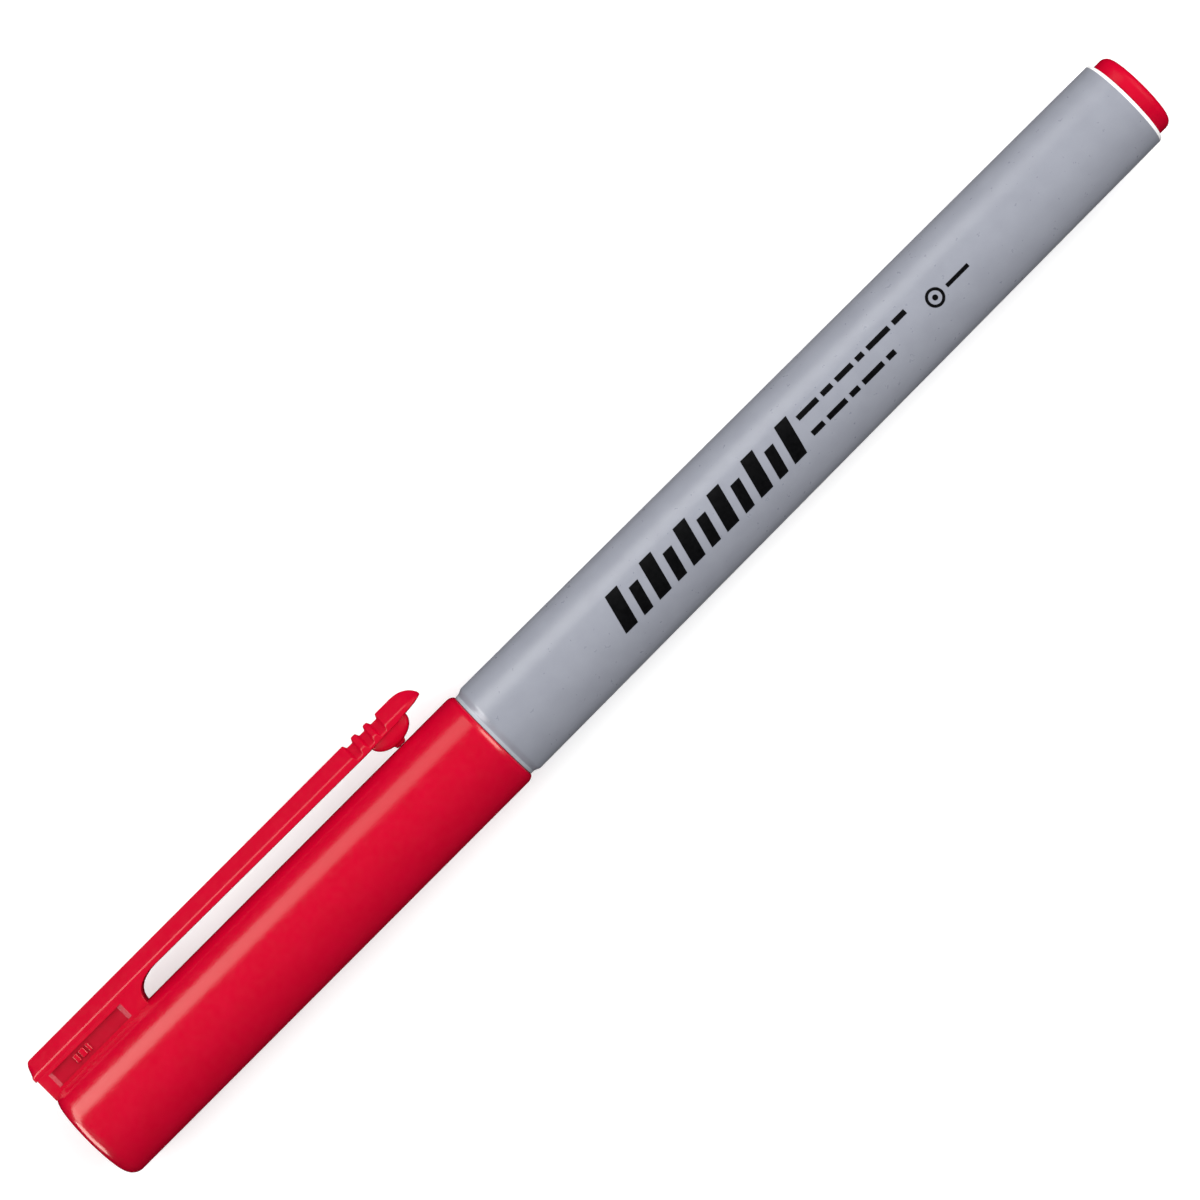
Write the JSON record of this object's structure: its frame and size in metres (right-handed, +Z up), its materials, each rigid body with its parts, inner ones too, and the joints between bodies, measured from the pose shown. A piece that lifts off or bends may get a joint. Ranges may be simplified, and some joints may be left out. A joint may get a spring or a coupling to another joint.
{
  "type": "fine-point permanent marker",
  "caption": "Slim capped felt-tip marker: tapered tube barrel, end plug, push-on cap with pocket clip, sealing liner, nib in a holder and a fibre ink reservoir.",
  "frame": {"origin": "centre of the end plug's flat outer face, on the pen's axis", "axes": "+X along the pen's axis from the tail to the closed end of the cap; the pocket clip points along -Y; +Z up, with the pen lying on its side"},
  "size_m": [0.138, 0.0147, 0.0108],
  "materials": {
    "barrel_grey": "semi-matte moulded",
    "cap_red": "glossy moulded",
    "plug_red": "glossy moulded",
    "holder_plastic": "semi-matte moulded",
    "liner_plastic": "soft translucent white",
    "sleeve_steel": "drawn tube",
    "nib_fibre": "ink-soaked point",
    "reservoir_fibre": "bundled fibre soaked with ink",
    "wrap_film": "thin film"
  },
  "bodies": {
    "barrel": {"barrel": "barrel_grey", "end_plug": "plug_red", "ink_reservoir": "reservoir_fibre", "reservoir_wrap": "wrap_film", "nib_feed": "nib_fibre", "nib_holder": "holder_plastic", "nib_sleeve": "sleeve_steel", "nib": "nib_fibre"},
    "inner_cap": {"inner_cap": "liner_plastic"},
    "cap": {"cap": "cap_red"},
    "pocket_clip": {"pocket_clip": "cap_red"}
  },
  "joints": [
    {"name": "cap_pull", "type": "slide", "parent": "barrel", "child": "inner_cap", "axis": [1, 0, 0], "range_m": [0, 0.06]},
    {"name": "cap_twist", "type": "hinge", "parent": "inner_cap", "child": "cap", "pos_m": [0.11, 0, 0], "axis": [1, 0, 0], "continuous": true},
    {"name": "clip_flex", "type": "hinge", "parent": "cap", "child": "pocket_clip", "pos_m": [0.12245, -0.0077, 0], "axis": [0, 0, 1], "range_deg": [0, 4], "stiffness_Nm_per_rad": 1.5}
  ]
}
